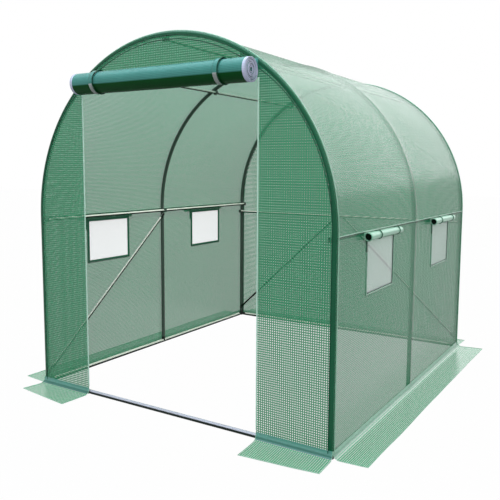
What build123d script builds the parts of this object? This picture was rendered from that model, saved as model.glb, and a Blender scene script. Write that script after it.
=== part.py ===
from build123d import *
import math
import os

os.makedirs("parts", exist_ok=True)

# A walk-in polytunnel greenhouse. Millimetres. X runs across the tunnel, Y along it from the
# doorway at -Y to the closed end at +Y, and Z up from the ground, which is z = 0.

# Steel frame, over the outside of its tubes
frame_width = 2000
frame_length = 2260
leg_height = 1060

# Steel tubes
hoop_tube = 25
rail_tube = 19
brace_tube = 16
tube_wall = 0.8
tube_sides = 12

# Fittings
socket_length = 45
socket_step = 0.5
elbow_round = 10
spigot_length = 35
spigot_clearance = 0.1
clamp_length = 26
clamp_lap = 7.5
clamp_wall = 2.5
clamp_clearance = 0.15

# Rails, with their drop below the spring of the arches
waist_drop = 24
rear_rail_drop = 90
shoulder_angle = 30
rail_end_gap = 2.5

# Braces, whose ends are pressed flat and bolted on
brace_foot_height = 75
brace_drop = 30
brace_spread = 24
pressed_width = 21
pressed_reach = 32
pressed_taper = 24
bolt_head = 10
bolt_head_height = 4

# Film of the cover, and the gap at which soft pieces lie on it
film = 2
seat = 0.3

# Doorway and its rolled-up door
door_width = 1184
door_rise = 730
door_roll_lift = 31
door_roll_length = 1150
door_roll_radius = 61
door_roll_turn = 10
door_roll_half_turns = 11
door_stitch = 60
strap = 1.5
strap_width = 25
strap_spacing = 820
zip_width = 20
zip_thickness = 1.5

# Windows in the side walls, and the flaps rolled up over them
window_width = 380
window_height = 280
window_drop = 53
window_spacing = 1120
net = 1
net_lap = 12
binding = 1
binding_lap = 8
flap_roll_drop = 32
flap_roll_length = 480
flap_roll_radius = 17
flap_roll_turn = 6
flap_roll_half_turns = 4
flap_stitch = 30

# Ground skirts
skirt_reach = 203
skirt_rise = 50
skirt_bend = 32

# Worked out from the sizes above
arch_radius = frame_width / 2
half_length = frame_length / 2
hoop_radius = arch_radius - hoop_tube / 2
hoop_y = half_length - hoop_tube / 2
base_z = hoop_tube / 2
pressed_thickness = 2 * tube_wall
rail_reach = hoop_tube / 2 + pressed_thickness + rail_tube / 2
rail_radius = hoop_radius - rail_reach
rail_length = frame_length - 2 * rail_end_gap
rear_rail_y = hoop_y - rail_reach
wall_face = arch_radius + film
end_face = half_length + film
hoop_stations = {"front": -hoop_y, "middle": 0, "rear": hoop_y}
waist_height = leg_height - waist_drop
rear_rail_height = leg_height - rear_rail_drop
door_height = leg_height + door_rise
door_roll_height = door_height + door_roll_lift
window_sill = leg_height - window_drop - window_height
flap_roll_height = leg_height - flap_roll_drop


def save(piece, node):
    piece.label = node
    export_step(piece, f"parts/{node}.step")


def tube_outline(depth, width, mode=Mode.ADD):
    """Many-sided outline of a tube, added to the open sketch, with a flat side on each axis."""
    step = 360 / tube_sides
    corner = 0.5 / math.cos(math.radians(step / 2))
    angles = [math.radians(step * (side + 0.5)) for side in range(tube_sides)]
    with BuildLine() as outline:
        Polyline(*[(depth * corner * math.cos(a), width * corner * math.sin(a)) for a in angles], close=True)
    make_face(outline.edges(), mode=mode)


def tube_ring(diameter):
    """Section of a tube, added to the open sketch."""
    tube_outline(diameter, diameter)
    bore = diameter - 2 * tube_wall
    tube_outline(bore, bore, mode=Mode.SUBTRACT)


def straight_tube(node, diameter, start, end):
    """One straight tube between two points."""
    run = Vector(*end) - Vector(*start)
    with BuildPart() as tube:
        with BuildSketch(Plane(origin=start, z_dir=run)):
            tube_ring(diameter)
        extrude(amount=run.length)
    save(tube.part, node)


# Hoops: a leg, a half-round arch and a leg, bent from one tube
for station, y in hoop_stations.items():
    with BuildPart() as hoop:
        with BuildLine(Plane.XZ.offset(-y)) as bend:
            Line((-hoop_radius, socket_length), (-hoop_radius, leg_height))
            CenterArc((0, leg_height), hoop_radius, 180, -180)
            Line((hoop_radius, leg_height), (hoop_radius, socket_length))
        with BuildSketch(Plane(origin=(-hoop_radius, y, socket_length))):
            tube_ring(hoop_tube)
        sweep(path=bend.wire())
    save(hoop.part, f"{station}_hoop")

# Base rails across the two ends
base_rail_end = hoop_radius - socket_length
for station in ("front", "rear"):
    y = hoop_stations[station]
    straight_tube(
        f"{station}_base_rail", hoop_tube, (-base_rail_end, y, base_z), (base_rail_end, y, base_z)
    )

# Base rails along the sides, each in two lengths joined by a tee under the middle hoop
bay_rail_length = hoop_y - 2 * socket_length
for side, x in (("left", -hoop_radius), ("right", hoop_radius)):
    with BuildPart() as side_rail:
        for bay_middle in (-hoop_y / 2, hoop_y / 2):
            with BuildSketch(Plane(origin=(x, bay_middle, base_z), z_dir=(0, 1, 0))):
                tube_ring(hoop_tube)
            extrude(amount=bay_rail_length / 2, both=True)
    save(side_rail.part, f"{side}_base_rail")


def socket(start, direction, length):
    """One arm of a foot fitting and the spigot inside the next tube, added to the open part."""
    arm = Plane(origin=start, z_dir=direction)
    outer = hoop_tube - 2 * socket_step
    inner = hoop_tube - 2 * tube_wall - 2 * spigot_clearance
    with BuildSketch(arm) as body:
        tube_outline(outer, outer)
    extrude(body.sketch, amount=length)
    with BuildSketch(arm.offset(length)) as spigot:
        tube_outline(inner, inner)
    extrude(spigot.sketch, amount=spigot_length)


# Foot fittings: three-way corners, and tees under the middle hoop
with BuildPart() as corner_fittings:
    for x_side in (-1, 1):
        for y_side in (-1, 1):
            elbow = (x_side * hoop_radius, y_side * hoop_y, base_z)
            with BuildSketch() as block:
                with Locations(elbow[:2]):
                    Rectangle(hoop_tube, hoop_tube)
                fillet(block.vertices().sort_by_distance((0, 0, 0))[-1], elbow_round)
            extrude(amount=hoop_tube)
            socket(elbow, (0, 0, 1), socket_length - base_z)
            socket(elbow, (-x_side, 0, 0), socket_length)
            socket(elbow, (0, -y_side, 0), socket_length)
save(corner_fittings.part, "corner_fittings")

with BuildPart() as tee_fittings:
    for x in (-hoop_radius, hoop_radius):
        socket((x, 0, base_z), (0, 0, 1), socket_length - base_z)
        socket((x, 0, base_z), (0, -1, 0), socket_length)
        socket((x, 0, base_z), (0, 1, 0), socket_length)
save(tee_fittings.part, "tee_fittings")

# Lengthwise rails, which run along the inner side of the hoops
shoulder_x = rail_radius * math.sin(math.radians(shoulder_angle))
shoulder_z = leg_height + rail_radius * math.cos(math.radians(shoulder_angle))
lengthwise_rails = {
    "left_waist_rail": (-rail_radius, waist_height),
    "right_waist_rail": (rail_radius, waist_height),
    "left_shoulder_rail": (-shoulder_x, shoulder_z),
    "right_shoulder_rail": (shoulder_x, shoulder_z),
    "ridge_rail": (0, leg_height + rail_radius),
}
for node, (x, z) in lengthwise_rails.items():
    straight_tube(node, rail_tube, (x, -rail_length / 2, z), (x, rail_length / 2, z))

# Rail across the rear hoop, on the inner side of its legs
rear_rail_end = arch_radius - rail_end_gap
straight_tube(
    "rear_waist_rail",
    rail_tube,
    (-rear_rail_end, rear_rail_y, rear_rail_height),
    (rear_rail_end, rear_rail_y, rear_rail_height),
)


def clamp(centre, inward, along_hoop):
    """Saddle block that laps over a hoop and holds a rail in a hole, added to the open part."""
    block = Plane(origin=centre, x_dir=inward, z_dir=along_hoop)
    near = hoop_tube / 2 - clamp_lap
    far = rail_reach + rail_tube / 2 + clamp_wall
    groove = hoop_tube + 2 * clamp_clearance
    with BuildSketch(block) as saddle:
        with Locations(((near + far) / 2, 0)):
            Rectangle(far - near, hoop_tube)
        tube_outline(groove, groove, mode=Mode.SUBTRACT)
    extrude(saddle.sketch, amount=clamp_length / 2, both=True)
    rail_axis = block.from_local_coords(Vector(rail_reach, 0, 0))
    with BuildSketch(Plane(origin=rail_axis, x_dir=inward, z_dir=block.y_dir)) as rail_hole:
        tube_outline(rail_tube, rail_tube)
    extrude(rail_hole.sketch, amount=hoop_tube / 2, both=True, mode=Mode.SUBTRACT)


# Cross clamps, where the rails pass the hoops
with BuildPart() as cross_clamps:
    for y in hoop_stations.values():
        for x_side in (-1, 1):
            clamp((x_side * hoop_radius, y, waist_height), (-x_side, 0, 0), (0, 0, 1))
        for angle in (-shoulder_angle, 0, shoulder_angle):
            across = math.sin(math.radians(angle))
            up = math.cos(math.radians(angle))
            clamp(
                (hoop_radius * across, y, leg_height + hoop_radius * up), (-across, 0, -up), (up, 0, -across)
            )
    for x in (-hoop_radius, hoop_radius):
        clamp((x, hoop_y, rear_rail_height), (0, -1, 0), (0, 0, 1))
save(cross_clamps.part, "cross_clamps")


def brace(node, start, end, start_head, end_head):
    """Tube pressed flat at both ends, with a bolt whose head points in the direction given."""
    run = Vector(*end) - Vector(*start)
    pressed = pressed_reach + pressed_taper
    with BuildPart() as tube:
        with BuildSketch(Plane(origin=start, x_dir=start_head, z_dir=run).offset(pressed)):
            tube_ring(brace_tube)
        extrude(amount=run.length - 2 * pressed)
        for bolt, inwards, head_side in ((start, run, start_head), (end, -run, end_head)):
            with BuildSketch(Plane(origin=bolt, x_dir=inwards, z_dir=head_side)):
                tube_outline(pressed_width, pressed_width)
                Rectangle(pressed_reach, pressed_width, align=(Align.MIN, Align.CENTER))
            extrude(amount=pressed_thickness / 2, both=True)
            with BuildSketch(Plane(origin=bolt, z_dir=head_side)):
                RegularPolygon(bolt_head / 2, 6)
            extrude(amount=pressed_thickness / 2 + bolt_head_height)
            across = Plane(origin=bolt, x_dir=head_side, z_dir=inwards)
            with BuildSketch(across.offset(pressed_reach)) as flat_section:
                tube_outline(pressed_thickness, pressed_width)
            with BuildSketch(across.offset(pressed)) as round_section:
                tube_outline(brace_tube, brace_tube)
            loft([flat_section.sketch, round_section.sketch], ruled=True)
    save(tube.part, node)


# Brace of the left wall, from the middle hoop at the waist to the foot of the front hoop
brace_x = -(arch_radius - hoop_tube - pressed_thickness / 2)
brace(
    "left_brace",
    (brace_x, 0, waist_height - brace_drop),
    (brace_x, -hoop_y, brace_foot_height),
    (1, 0, 0),
    (1, 0, 0),
)

# Braces of the rear wall, from both feet to the middle of the rear waist rail
brace_y = half_length - hoop_tube - pressed_thickness / 2
for side, x_side in (("left", -1), ("right", 1)):
    brace(
        f"rear_{side}_brace",
        (x_side * hoop_radius, brace_y, brace_foot_height),
        (x_side * brace_spread, brace_y, rear_rail_height),
        (0, -1, 0),
        (0, 1, 0),
    )

# Roof film, over the arches of all the hoops
with BuildPart() as roof_cover:
    with BuildSketch(Plane.XZ):
        with Locations((0, leg_height)):
            Circle(wall_face)
            Circle(arch_radius, mode=Mode.SUBTRACT)
            Rectangle(2 * wall_face, wall_face, align=(Align.CENTER, Align.MIN), mode=Mode.INTERSECT)
    extrude(amount=end_face, both=True)
save(roof_cover.part, "roof_cover")

# Side walls of film with their windows, and the nets behind the windows
window_places = {"front": -window_spacing / 2, "rear": window_spacing / 2}
for side, x_side in (("left", -1), ("right", 1)):
    inner_face = Plane.YZ.offset(x_side * arch_radius)
    with BuildPart() as wall_cover:
        with BuildSketch(inner_face):
            Rectangle(2 * end_face, leg_height, align=(Align.CENTER, Align.MIN))
            with Locations(*[(y, window_sill) for y in window_places.values()]):
                Rectangle(window_width, window_height, align=(Align.CENTER, Align.MIN), mode=Mode.SUBTRACT)
        extrude(amount=x_side * film)
    save(wall_cover.part, f"{side}_wall_cover")
    for place, y in window_places.items():
        with BuildPart() as window_net:
            with BuildSketch(inner_face):
                with Locations((y, window_sill + window_height / 2)):
                    Rectangle(window_width + 2 * net_lap, window_height + 2 * net_lap)
            extrude(amount=-x_side * net)
        save(window_net.part, f"{side}_{place}_window_net")
    with BuildPart() as window_bindings:
        with BuildSketch(Plane.YZ.offset(x_side * wall_face)):
            with Locations(*[(y, window_sill + window_height / 2) for y in window_places.values()]):
                Rectangle(window_width + 2 * binding_lap, window_height + 2 * binding_lap)
                Rectangle(window_width - 2 * binding_lap, window_height - 2 * binding_lap, mode=Mode.SUBTRACT)
        extrude(amount=x_side * binding)
    save(window_bindings.part, f"{side}_window_bindings")


def end_wall_outline():
    """Outline of a whole end wall, added to the sketch that is open."""
    Rectangle(2 * arch_radius, leg_height, align=(Align.CENTER, Align.MIN))
    with Locations((0, leg_height)):
        Circle(arch_radius)


# Closed end wall of film
with BuildPart() as rear_panel:
    with BuildSketch(Plane.XZ.offset(-half_length)):
        end_wall_outline()
    extrude(amount=-film)
save(rear_panel.part, "rear_panel")

# Front wall of film: a panel each side of the doorway, and one over it
tunnel_height = leg_height + arch_radius
side_panel_width = arch_radius - door_width / 2
side_panel_x = (arch_radius + door_width / 2) / 2
front_panels = {
    "front_left_panel": (-side_panel_x, tunnel_height / 2, side_panel_width, tunnel_height),
    "front_right_panel": (side_panel_x, tunnel_height / 2, side_panel_width, tunnel_height),
    "front_gable_panel": (0, (door_height + tunnel_height) / 2, door_width, tunnel_height - door_height),
}
for node, (x, z, width, height) in front_panels.items():
    with BuildPart() as front_panel:
        with BuildSketch(Plane.XZ.offset(half_length)):
            end_wall_outline()
            with Locations((x, z)):
                Rectangle(width, height, mode=Mode.INTERSECT)
        extrude(amount=film)
    save(front_panel.part, node)

# Zip tapes up both sides of the doorway
for side, x_side in (("left", -1), ("right", 1)):
    with BuildPart() as door_zip:
        with BuildSketch(Plane.XZ.offset(end_face)):
            with Locations((x_side * (door_width + zip_width) / 2, (skirt_rise + door_height) / 2)):
                Rectangle(zip_width, door_height - skirt_rise)
        extrude(amount=zip_thickness)
    save(door_zip.part, f"{side}_door_zip")


def spiral_band(radius, turn, half_turns, inner, outer, tail):
    """Band beside a spiral of half turns, added to the open sketch.

    The spiral's outer end is at the sketch's origin, with a straight tail that goes up from it.
    """
    with BuildLine() as outline:
        for lift in (inner, outer):
            end = 0
            for step in range(half_turns):
                half = radius - step * turn / 2
                inwards = -1 if step % 2 == 0 else 1
                CenterArc((end + inwards * half, 0), half + lift, 180 if inwards < 0 else 0, 180)
                end += 2 * inwards * half
            Line((lift, 0), (lift, tail))
        Line((inner, tail), (outer, tail))
        last_side = -1 if half_turns % 2 else 1
        Line((end + last_side * inner, 0), (end + last_side * outer, 0))
    make_face(outline.edges())


def roll_plane(origin, outward):
    """Plane across a roll that hangs in front of a wall, with X towards that wall and Y up."""
    towards_wall = -Vector(*outward)
    return Plane(origin=origin, x_dir=towards_wall, z_dir=towards_wall.cross(Vector(0, 0, 1)))


# Door, rolled up over the doorway and stitched along its upper edge
door_roll_y = -(end_face + seat + strap + seat + film / 2)
with BuildPart() as door_roll:
    with BuildSketch(roll_plane((0, door_roll_y, door_roll_height), (0, -1, 0))):
        spiral_band(door_roll_radius, door_roll_turn, door_roll_half_turns, -film / 2, film / 2, door_stitch)
    extrude(amount=door_roll_length / 2, both=True)
save(door_roll.part, "door_roll")

# Straps that come down behind the rolled-up door and around it
strap_inner = film / 2 + seat
with BuildPart() as door_straps:
    for x in (-strap_spacing / 2, strap_spacing / 2):
        with BuildSketch(roll_plane((x, door_roll_y, door_roll_height), (0, -1, 0))):
            spiral_band(door_roll_radius, door_roll_turn, 2, strap_inner, strap_inner + strap, door_stitch)
        extrude(amount=strap_width / 2, both=True)
save(door_straps.part, "door_straps")

# Window flaps, each rolled up outside its window
for side, x_side in (("left", -1), ("right", 1)):
    for place, y in window_places.items():
        flap_x = x_side * (wall_face + seat + film / 2)
        with BuildPart() as flap_roll:
            with BuildSketch(roll_plane((flap_x, y, flap_roll_height), (x_side, 0, 0))):
                spiral_band(
                    flap_roll_radius, flap_roll_turn, flap_roll_half_turns, -film / 2, film / 2, flap_stitch
                )
            extrude(amount=flap_roll_length / 2, both=True)
        save(flap_roll.part, f"{side}_{place}_flap_roll")

# Ground skirts, which hang from the walls and turn out over the ground
skirts = {
    "left_skirt": ((-wall_face, 0, 0), (-1, 0, 0), 2 * end_face),
    "right_skirt": ((wall_face, 0, 0), (1, 0, 0), 2 * end_face),
    "front_left_skirt": ((-side_panel_x, -end_face, 0), (0, -1, 0), side_panel_width),
    "front_right_skirt": ((side_panel_x, -end_face, 0), (0, -1, 0), side_panel_width),
    "rear_skirt": ((0, end_face, 0), (0, 1, 0), 2 * arch_radius),
}
for node, (origin, outward, length) in skirts.items():
    with BuildPart() as skirt:
        with BuildSketch(Plane(origin=origin, x_dir=outward, z_dir=Vector(*outward).cross(Vector(0, 0, 1)))):
            with BuildLine():
                Line((0, skirt_rise), (0, skirt_bend))
                CenterArc((skirt_bend, skirt_bend), skirt_bend, 180, 90)
                Line((skirt_bend, 0), (skirt_reach, 0))
                Line((skirt_reach, 0), (skirt_reach, film))
                Line((skirt_reach, film), (skirt_bend, film))
                CenterArc((skirt_bend, skirt_bend), skirt_bend - film, 180, 90)
                Line((film, skirt_bend), (film, skirt_rise))
                Line((film, skirt_rise), (0, skirt_rise))
            make_face()
        extrude(amount=length / 2, both=True)
    save(skirt.part, node)
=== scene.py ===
import math

import bmesh
import bpy
from bpy.props import FloatProperty, FloatVectorProperty, PointerProperty
from mathutils import Matrix, Vector, noise

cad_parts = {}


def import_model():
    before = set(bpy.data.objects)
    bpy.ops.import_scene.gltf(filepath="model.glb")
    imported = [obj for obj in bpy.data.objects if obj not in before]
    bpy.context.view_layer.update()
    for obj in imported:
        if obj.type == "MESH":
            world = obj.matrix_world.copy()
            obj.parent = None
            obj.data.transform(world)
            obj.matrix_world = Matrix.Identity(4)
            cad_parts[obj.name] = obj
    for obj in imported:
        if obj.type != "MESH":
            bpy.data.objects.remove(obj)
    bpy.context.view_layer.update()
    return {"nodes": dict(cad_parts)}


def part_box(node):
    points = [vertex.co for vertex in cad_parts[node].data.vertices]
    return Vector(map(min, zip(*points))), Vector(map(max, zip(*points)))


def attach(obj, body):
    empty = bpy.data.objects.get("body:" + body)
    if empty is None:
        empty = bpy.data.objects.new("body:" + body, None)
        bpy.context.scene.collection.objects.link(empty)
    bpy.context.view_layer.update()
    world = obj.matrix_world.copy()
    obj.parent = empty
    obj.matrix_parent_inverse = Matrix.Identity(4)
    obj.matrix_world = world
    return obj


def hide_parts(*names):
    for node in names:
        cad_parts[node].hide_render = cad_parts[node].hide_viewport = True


bl_info = {
    "name": "Polytunnel greenhouse",
    "version": (1, 0, 0),
    "blender": (4, 5, 0),
    "location": "View3D > Sidebar > Polytunnel",
    "description": "Covers a walk-in tunnel frame with woven film, rolls up its door and lights it",
    "category": "Object",
}

# X runs across the tunnel, Y along it from the doorway to the closed end, Z up. Metres.
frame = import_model()


# Sizes read from the frame

def middle(node):
    """Centre of a node's box."""
    low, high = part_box(node)
    return (low + high) / 2


def span(node):
    """Width, depth and height of a node's box."""
    low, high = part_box(node)
    return high - low


HOOPS = ("front_hoop", "middle_hoop", "rear_hoop")
HOOP_STATIONS = [middle(hoop).y for hoop in HOOPS]
HOOP_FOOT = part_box("middle_hoop")[0].z
HOOP_TUBE = span("middle_hoop").y
HALF_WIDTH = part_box("middle_hoop")[1].x
HALF_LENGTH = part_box("rear_hoop")[1].y
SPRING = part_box("roof_cover")[0].z
RAIL_TUBE = span("ridge_rail").x
DOOR_LOW, DOOR_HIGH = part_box("front_gable_panel")
# The loose film pulls the doorway's edges a little to the left.
DOOR_PULL = 0.015
DOOR_EDGES = {"left": DOOR_LOW.x - DOOR_PULL, "right": DOOR_HIGH.x - DOOR_PULL}
DOOR_TOP = DOOR_LOW.z
SKIRT_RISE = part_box("rear_skirt")[1].z
SIDES = {"left": -1, "right": 1}
PLACES = ("front", "rear")


class CoverSizes(bpy.types.PropertyGroup):
    """Sizes of the film cover and its trim."""

    clearance: FloatProperty(
        name="Clearance", description="Gap between the hoops and the film over them",
        default=0.0008, min=0, unit="LENGTH",
    )
    sag: FloatProperty(
        name="Sag", description="How far the film sinks between two hoops",
        default=0.006, min=0, unit="LENGTH",
    )
    sag_fall: FloatProperty(
        name="Sag fall", description="Distance from a hoop in which most of the sag is reached",
        default=0.055, min=0.001, unit="LENGTH",
    )
    ripple: FloatProperty(
        name="Ripple", description="Height of the soft ripples in the film",
        default=0.0009, min=0, unit="LENGTH",
    )
    tape_pitch: FloatProperty(
        name="Tape pitch", description="Spacing of the woven tapes in the end walls and their skirts",
        default=0.0118, min=0.002, unit="LENGTH",
    )
    wall_pitch: FloatProperty(
        name="Wall tape pitch", description="Spacing of the woven tapes in the side walls, the roof and their skirts",
        default=0.0095, min=0.002, unit="LENGTH",
    )
    sleeve_reach: FloatProperty(
        name="Sleeve reach", description="Width of an end hoop's sleeve on the end wall, at the legs",
        default=0.0245, min=0.01, unit="LENGTH",
    )
    crown_reach: FloatProperty(
        name="Crown reach", description="Width of an end hoop's sleeve on the end wall, at the crown",
        default=0.042, min=0.01, unit="LENGTH",
    )
    binding_width: FloatProperty(
        name="Binding width", description="Width of the folded binding around a window",
        default=0.018, min=0.004, unit="LENGTH",
    )
    door_hem: FloatProperty(
        name="Door hem", description="Width of the pale hem along both ends of the rolled-up door",
        default=0.017, min=0.002, unit="LENGTH",
    )
    door_turn: FloatProperty(
        name="Door turn", description="Distance between two turns of the rolled-up door",
        default=0.0063, min=0.002, unit="LENGTH",
    )
    flap_turn: FloatProperty(
        name="Flap turn", description="Distance between two turns of a rolled-up window flap",
        default=0.0009, min=0.0005, unit="LENGTH",
    )


def linear(text):
    """Linear colour of an sRGB hex value."""
    channels = [int(text[place:place + 2], 16) / 255 for place in (1, 3, 5)]
    return [c / 12.92 if c <= 0.04045 else ((c + 0.055) / 1.055) ** 2.4 for c in channels] + [1.0]


def colour(name, description, text):
    """A colour setting whose default is an sRGB hex value."""
    return FloatVectorProperty(
        name=name, description=description, subtype="COLOR", size=4, min=0, max=1, default=linear(text)
    )


class TunnelColours(bpy.types.PropertyGroup):
    """Colours of the tunnel's materials."""

    film_front: colour("Film, lit side", "Light that the woven film throws back", "#169F69")
    film_glow: colour("Film, glow", "Light that comes through the woven film", "#3F6E56")
    film_cell: colour("Film, between tapes", "Thin film between the woven tapes", "#519778")
    flap: colour("Flap film", "Few layers of film on each other", "#84BC9F")
    # Painted highlight and painted shade: the rolled door's upper side gets the bright roll colour, its lower side the
    # dark colour below.
    roll: colour("Rolled film, above", "Upper side of the rolled-up door, where the film is worn bright", "#3E7C73")
    roll_painted_shade: colour("Rolled film, below", "Many layers of film on each other", "#0A4018")
    # Painted highlight: the pale colour along a side skirt's fold stands in for the light caught in its hollow curve.
    crease: colour("Skirt fold", "Film worn pale along the fold of a side skirt", "#C6E8DA")
    # Painted highlight on the upper half and painted shade on the lower half of a front skirt's fold.
    front_fold_painted_highlight: colour("Front skirt fold", "Upper half of the fold of a front skirt", "#6AAFA2")
    front_fold_painted_shade: colour("Front skirt fold, foot", "Lower half of the fold of a front skirt", "#2E7A6B")
    hem: colour("Door hem", "Pale woven hem along the door's ends", "#C4C4DC")
    binding: colour("Binding", "Folded binding around windows and edges", "#2F7457")
    # Pale edges of bindings, welts and hems; on the end hoops' sleeves this pale piping is a painted highlight along
    # the bend.
    piping_and_painted_highlight: colour("Piping", "Pale folded edge outside the film", "#A4D2B9")
    # Painted shade: an extra layer of film, coloured dark to stand in for the hoop tube and its shade seen through the
    # sleeve.
    hoop_band: colour("Hoop band", "Film in double layer over an end hoop", "#0A5638")
    hollow: colour("Hollow", "Deep shade inside a rolled flap", "#07120C")
    # Also the painted shadow line along one edge of each door strap.
    seam: colour("Seam", "Sewn seam where layers meet", "#104A33")
    edge: colour("Zip coil", "Pale coil along the edges of the doorway", "#C4E6D4")
    net: colour("Window net", "Knitted net in the windows", "#FCFCFF")
    hoop: colour("Hoop enamel", "Dark coating of the hoops", "#3E4F45")
    rail: colour("Rail coating", "Pale coating of the rails and braces", "#FFFAF0")
    sill: colour("Sill coating", "Pale coating of the rail across the doorway", "#B6B5C2")
    saddle: colour("Saddles", "Dark green saddles that hold the rails to the hoops", "#34443B")
    # Painted shade: dark colour for the underside of the rails, braces and sill, chosen by the way each surface faces.
    rail_painted_shade: colour("Rail underside", "Dull and grimy underside of the rails", "#14201A")
    fitting: colour("Fittings", "Moulded black fittings", "#1B1F1D")
    patch: colour("Strap patch", "Grey hook-and-loop patch on the door straps", "#8E9390")


# Materials

def add_node(tree, kind, inputs=None, **settings):
    """A shader node with its settings. Each input is a number, a colour or another node's output."""
    node = tree.nodes.new(kind)
    for name, value in settings.items():
        setattr(node, name, value)
    for name, value in (inputs or {}).items():
        if isinstance(value, bpy.types.NodeSocket):
            tree.links.new(value, node.inputs[name])
        else:
            node.inputs[name].default_value = value
    return node


def new_material(name):
    """An empty node material and the node for its output."""
    material = bpy.data.materials.new(name)
    material.use_nodes = True
    material.node_tree.nodes.clear()
    output = material.node_tree.nodes.new("ShaderNodeOutputMaterial")
    return material, material.node_tree, output


def tape_cover(tree, pitch):
    """Share of the surface under woven tapes, and the weave's height, from the cloth's own metres. The real
    tapes lie about 4 mm apart, and are drawn further apart so that they show."""
    cloth = add_node(tree, "ShaderNodeUVMap", uv_map="cloth")
    axes = add_node(tree, "ShaderNodeSeparateXYZ", {"Vector": cloth.outputs["UV"]})
    half = 0.242 * pitch
    soft = pitch / 16
    tapes = []
    for axis in ("X", "Y"):
        fold = add_node(
            tree, "ShaderNodeMath", {0: axes.outputs[axis], 1: pitch / 2}, operation="PINGPONG"
        )
        tapes.append(add_node(
            tree, "ShaderNodeMapRange",
            {"Value": fold.outputs[0], "From Min": half + soft, "From Max": half - soft},
            interpolation_type="SMOOTHSTEP",
        ))
    cover = add_node(
        tree, "ShaderNodeMath", {0: tapes[0].outputs[0], 1: tapes[1].outputs[0]}, operation="MAXIMUM"
    )
    height = add_node(
        tree, "ShaderNodeMath", {0: tapes[0].outputs[0], 1: tapes[1].outputs[0]}, operation="ADD"
    )
    return cover.outputs[0], height.outputs[0]


def mottle(tree, size, low, high):
    """Soft patches of lighter and darker tone, about size metres across."""
    place = add_node(tree, "ShaderNodeTexCoord")
    patches = add_node(
        tree, "ShaderNodeTexNoise", {"Vector": place.outputs["Object"], "Scale": 1 / size, "Detail": 3.0}
    )
    tone = add_node(tree, "ShaderNodeMapRange", {"Value": patches.outputs[0], "To Min": low, "To Max": high})
    return tone.outputs[0]


def tinted(tree, base, tone):
    """A colour made lighter and darker by a tone."""
    tint = add_node(tree, "ShaderNodeMix", {"Factor": 1.0, 6: base}, data_type="RGBA", blend_type="MULTIPLY")
    tree.links.new(tone, tint.inputs[7])
    return tint.outputs[2]


def blended(tree, share, low, high):
    """Two colours mixed by a share."""
    mix = add_node(tree, "ShaderNodeMix", {"Factor": share}, data_type="RGBA")
    for socket, value in ((mix.inputs[6], low), (mix.inputs[7], high)):
        if isinstance(value, bpy.types.NodeSocket):
            tree.links.new(value, socket)
        else:
            socket.default_value = value
    return mix.outputs[2]


def laminated_woven_polyethylene(name, pitch, cover_range, colours):
    """Woven polyethylene tapes between two thin films: light glows through, and the cells between the
    tapes let the eye through a little. cover_range is how solid the cells and the tapes are."""
    material, tree, output = new_material(name)
    cover, height = tape_cover(tree, pitch)
    tone = mottle(tree, 0.35, 0.94, 1.06)
    front = tinted(tree, blended(tree, cover, colours.film_cell, colours.film_front), tone)
    glow = tinted(tree, blended(tree, cover, colours.film_cell, colours.film_glow), tone)
    bump = add_node(tree, "ShaderNodeBump", {"Height": height, "Strength": 0.14, "Distance": 0.0004})
    face = add_node(tree, "ShaderNodeBsdfPrincipled", {
        "Base Color": front, "Roughness": 0.27, "IOR": 1.5, "Coat Weight": 0.7, "Coat Roughness": 0.22,
        "Normal": bump.outputs[0],
    })
    through = add_node(tree, "ShaderNodeBsdfTranslucent", {"Color": glow})
    body = add_node(tree, "ShaderNodeMixShader", {0: 0.5, 1: face.outputs[0], 2: through.outputs[0]})
    clear = add_node(tree, "ShaderNodeBsdfTransparent")
    solid = add_node(tree, "ShaderNodeMapRange", {
        "Value": cover, "To Min": cover_range[0], "To Max": cover_range[1],
    })
    film = add_node(
        tree, "ShaderNodeMixShader", {0: solid.outputs[0], 1: clear.outputs[0], 2: body.outputs[0]}
    )
    tree.links.new(film.outputs[0], output.inputs["Surface"])
    return material


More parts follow.
